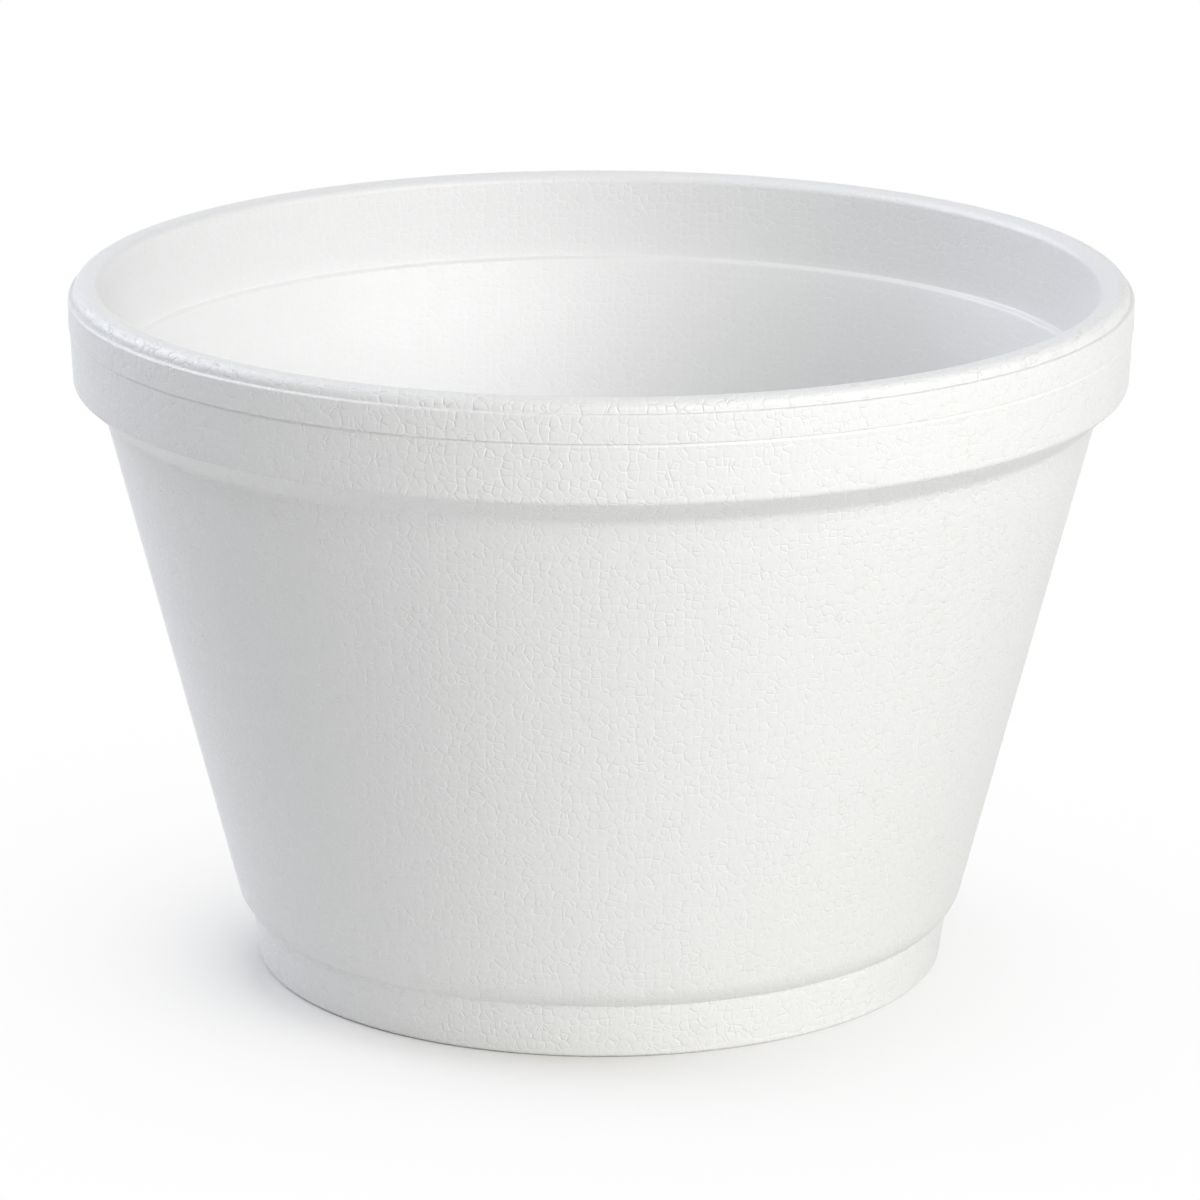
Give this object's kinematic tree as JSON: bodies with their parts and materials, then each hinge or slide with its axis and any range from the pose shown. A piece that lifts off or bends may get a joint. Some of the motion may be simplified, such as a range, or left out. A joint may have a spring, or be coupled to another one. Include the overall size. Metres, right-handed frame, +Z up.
{
  "type": "foam food container",
  "caption": "Round tapered tub of white expanded polystyrene foam with a banded, beaded rim for a snap lid, a stacking shoulder inside and a narrow foot band; open and empty.",
  "frame": {"origin": "centre of the resting face, on the tub's axis", "axes": "+Z up along the tub's axis, from the foot to the rim; the tub is round, so +X and +Y are free"},
  "size_m": [0.1162, 0.1162, 0.0768],
  "materials": {
    "foam": "moulded expanded polystyrene, fused beads about 1.3 mm across, satin"
  },
  "bodies": {
    "root": {"container": "foam"}
  },
  "joints": []
}
